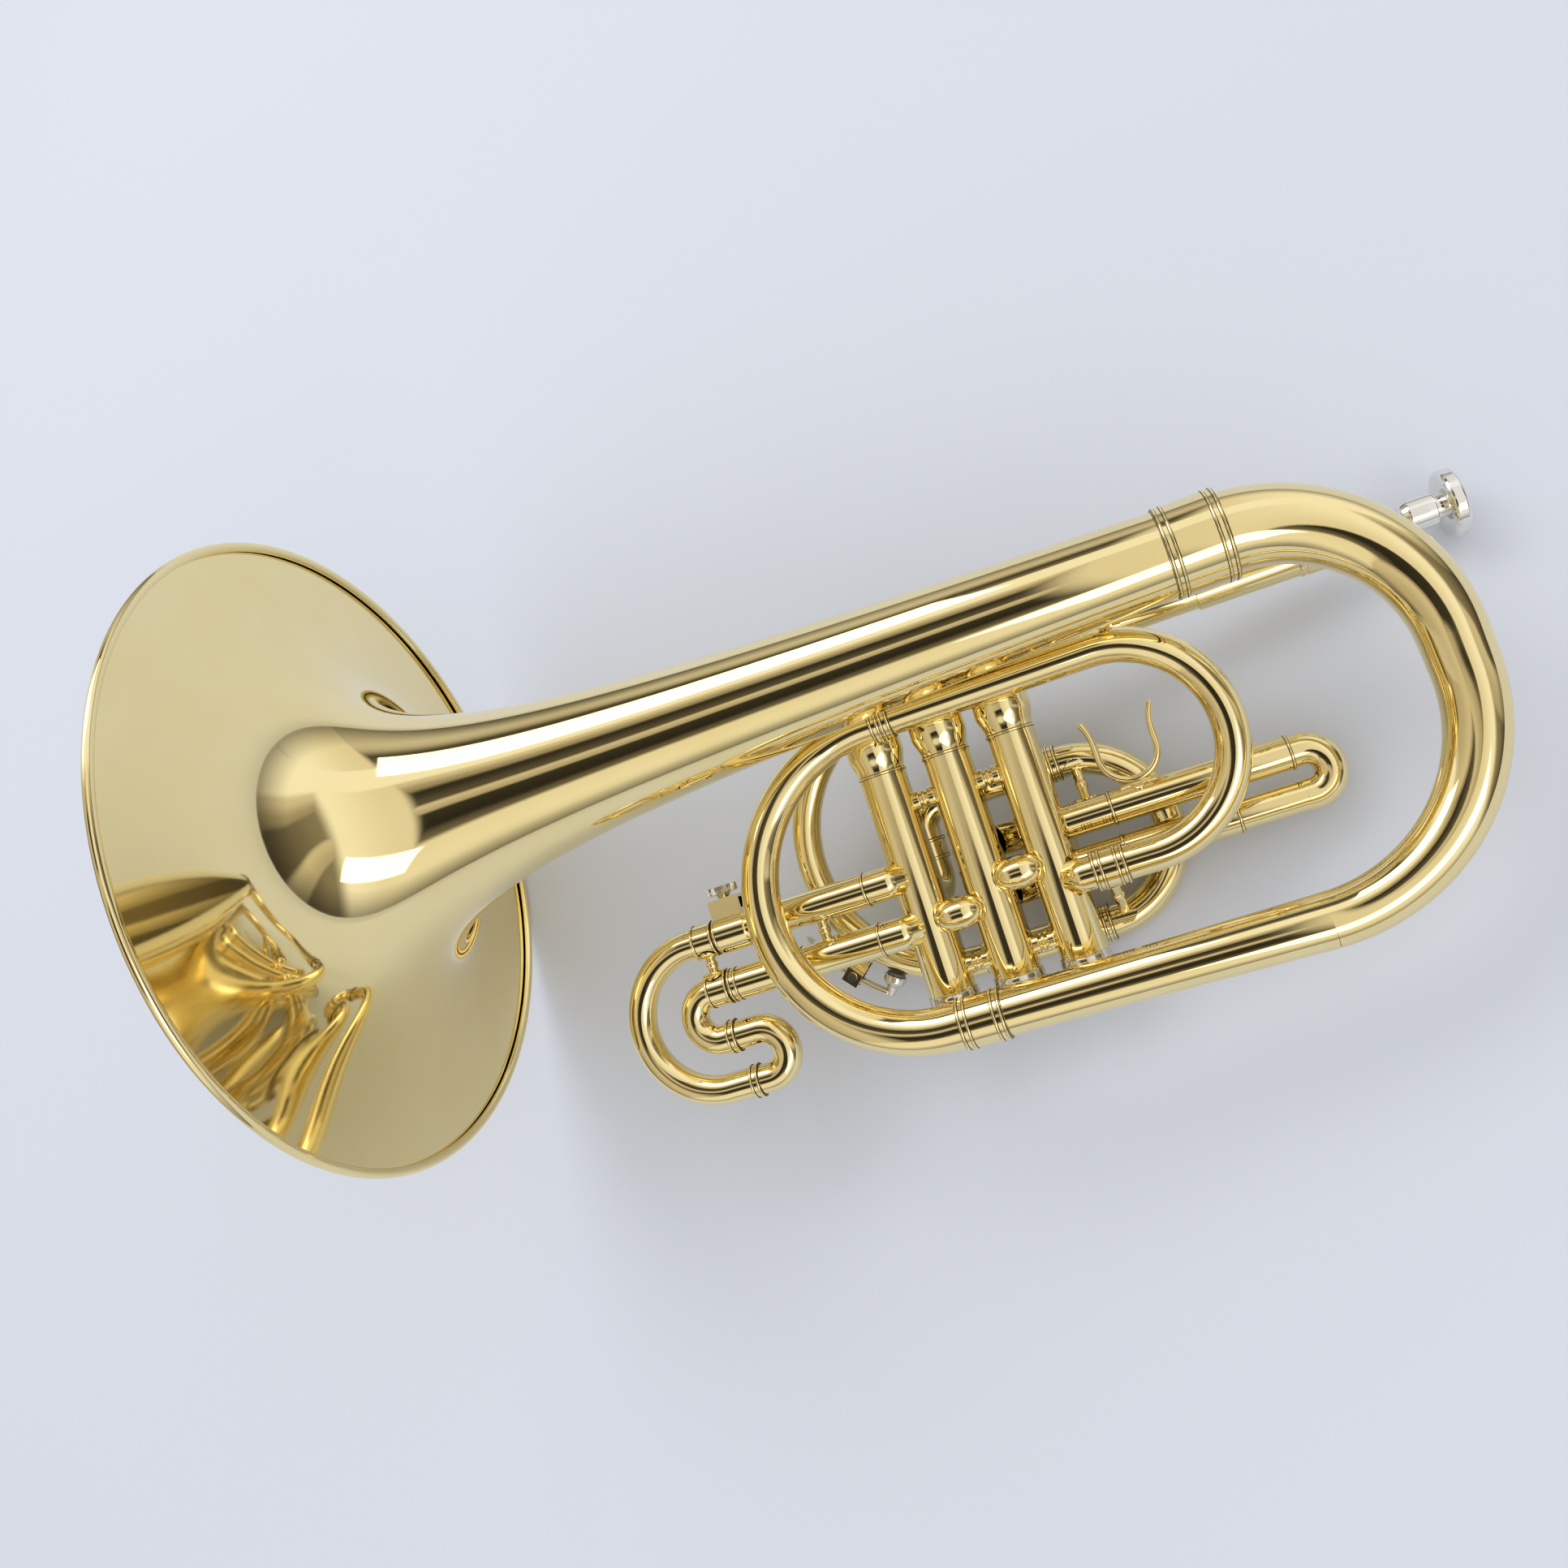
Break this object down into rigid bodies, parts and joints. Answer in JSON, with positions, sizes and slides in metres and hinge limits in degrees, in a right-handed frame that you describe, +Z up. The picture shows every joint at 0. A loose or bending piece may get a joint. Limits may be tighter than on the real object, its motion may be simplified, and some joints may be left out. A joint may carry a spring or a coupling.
{
  "type": "mellophone",
  "caption": "Forward-facing brass horn with a wide bell, piston valves, tuning slides, a water key and a cup mouthpiece, lying on its side.",
  "frame": {"origin": "middle of the bounding box, on the surface the horn lies on", "axes": "+X from the bell mouth towards the mouthpiece end, +Y across from the low bow side towards the valve tops, +Z up from the surface that the bell rim, the main crook and the mouthpiece rim rest on"},
  "size_m": [0.4638, 0.2758, 0.2646],
  "materials": {
    "lacquered_brass": "polished and lacquered",
    "nickel_silver": "polished nickel",
    "silver_plate": "polished silver plate",
    "rubber": "matte",
    "spring_steel": "bright wire",
    "nylon": "matte"
  },
  "bodies": {
    "horn": {"bell": "lacquered_brass", "stem_ferrule": "lacquered_brass", "tail_bow": "lacquered_brass", "lower_tube": "lacquered_brass", "lower_ferrule": "lacquered_brass", "front_bow": "lacquered_brass", "top_tube_ferrules": "lacquered_brass", "top_tube": "lacquered_brass", "rear_bow": "lacquered_brass", "valve_casing_1": "lacquered_brass", "valve_spring_1": "spring_steel", "valve_casing_2": "lacquered_brass", "valve_spring_2": "spring_steel", "valve_casing_3": "lacquered_brass", "valve_spring_3": "spring_steel", "crossover_3_2": "lacquered_brass", "crossover_2_1": "lacquered_brass", "branch_knuckle": "lacquered_brass", "third_slide_knuckles": "lacquered_brass", "leadpipe": "lacquered_brass", "mouthpiece_receiver": "lacquered_brass", "main_slide_sleeves": "lacquered_brass", "main_crook": "lacquered_brass", "main_wrap_ferrules": "lacquered_brass", "return_tube": "lacquered_brass", "return_knuckle": "lacquered_brass", "third_slide_sleeves": "lacquered_brass", "third_sleeve_brace": "lacquered_brass", "lyre_holder": "lacquered_brass", "first_slide_port": "lacquered_brass", "first_slide_lower_sleeve": "lacquered_brass", "second_slide_sleeves": "lacquered_brass", "slide_braces": "lacquered_brass", "stem_brace": "lacquered_brass", "top_caps": "lacquered_brass", "casing_braces": "nickel_silver", "bottom_caps": "nickel_silver", "valve_guides": "nylon"},
    "piston_1": {"piston_1": "nickel_silver", "finger_button_1": "lacquered_brass"},
    "piston_2": {"piston_2": "nickel_silver", "finger_button_2": "lacquered_brass"},
    "piston_3": {"piston_3": "nickel_silver", "finger_button_3": "lacquered_brass"},
    "main_slide": {"main_slide": "lacquered_brass", "water_key_saddle": "lacquered_brass", "water_key_screw": "nickel_silver"},
    "water_key": {"water_key_lever": "nickel_silver", "water_key_pad": "rubber"},
    "third_slide": {"third_slide_legs": "lacquered_brass", "third_slide_ferrules": "lacquered_brass", "third_slide_bow": "lacquered_brass", "third_slide_return_bows": "lacquered_brass", "third_slide_brace": "lacquered_brass"},
    "first_slide": {"first_slide": "lacquered_brass", "first_slide_upper_sleeve": "lacquered_brass", "thumb_saddle": "lacquered_brass"},
    "second_slide": {"second_slide": "lacquered_brass"},
    "lyre_screw": {"lyre_screw": "nickel_silver"},
    "mouthpiece": {"mouthpiece": "silver_plate"}
  },
  "joints": [
    {"name": "valve_1_press", "type": "slide", "parent": "horn", "child": "piston_1", "axis": [-0.0351, -0.9661, -0.2558], "range_m": [0, 0.016], "stiffness_N_per_m": 80, "springref_m": -0.02, "deforming": ["valve_spring_1"]},
    {"name": "valve_2_press", "type": "slide", "parent": "horn", "child": "piston_2", "axis": [-0.0351, -0.9661, -0.2558], "range_m": [0, 0.016], "stiffness_N_per_m": 80, "springref_m": -0.02, "deforming": ["valve_spring_2"]},
    {"name": "valve_3_press", "type": "slide", "parent": "horn", "child": "piston_3", "axis": [-0.0351, -0.9661, -0.2558], "range_m": [0, 0.016], "stiffness_N_per_m": 80, "springref_m": -0.02, "deforming": ["valve_spring_3"]},
    {"name": "main_tuning_slide", "type": "slide", "parent": "horn", "child": "main_slide", "axis": [-0.9907, 0, 0.1361], "range_m": [0, 0.035]},
    {"name": "water_key_lift", "type": "hinge", "parent": "main_slide", "child": "water_key", "pos_m": [-0.05268, -0.09145, 0.02456], "axis": [-0.1315, 0.2582, -0.9571], "range_deg": [0, 14], "stiffness_Nm_per_rad": 0.02, "springref_deg": -34.38},
    {"name": "third_valve_slide", "type": "slide", "parent": "horn", "child": "third_slide", "axis": [-0.9907, 0, 0.1361], "range_m": [0, 0.04]},
    {"name": "first_valve_slide", "type": "slide", "parent": "horn", "child": "first_slide", "axis": [0.9907, 0, -0.1361], "range_m": [0, 0.045]},
    {"name": "second_valve_slide", "type": "slide", "parent": "horn", "child": "second_slide", "axis": [0.6482, 0.1728, -0.7416], "range_m": [0, 0.01]},
    {"name": "lyre_screw_turn", "type": "hinge", "parent": "horn", "child": "lyre_screw", "pos_m": [-0.08163, -0.05295, 0.0687], "axis": [0.0351, 0.9661, 0.2558], "continuous": true},
    {"name": "mouthpiece_pull", "type": "slide", "parent": "horn", "child": "mouthpiece", "axis": [0.9907, 0, -0.1361], "range_m": [0, 0.02]}
  ]
}
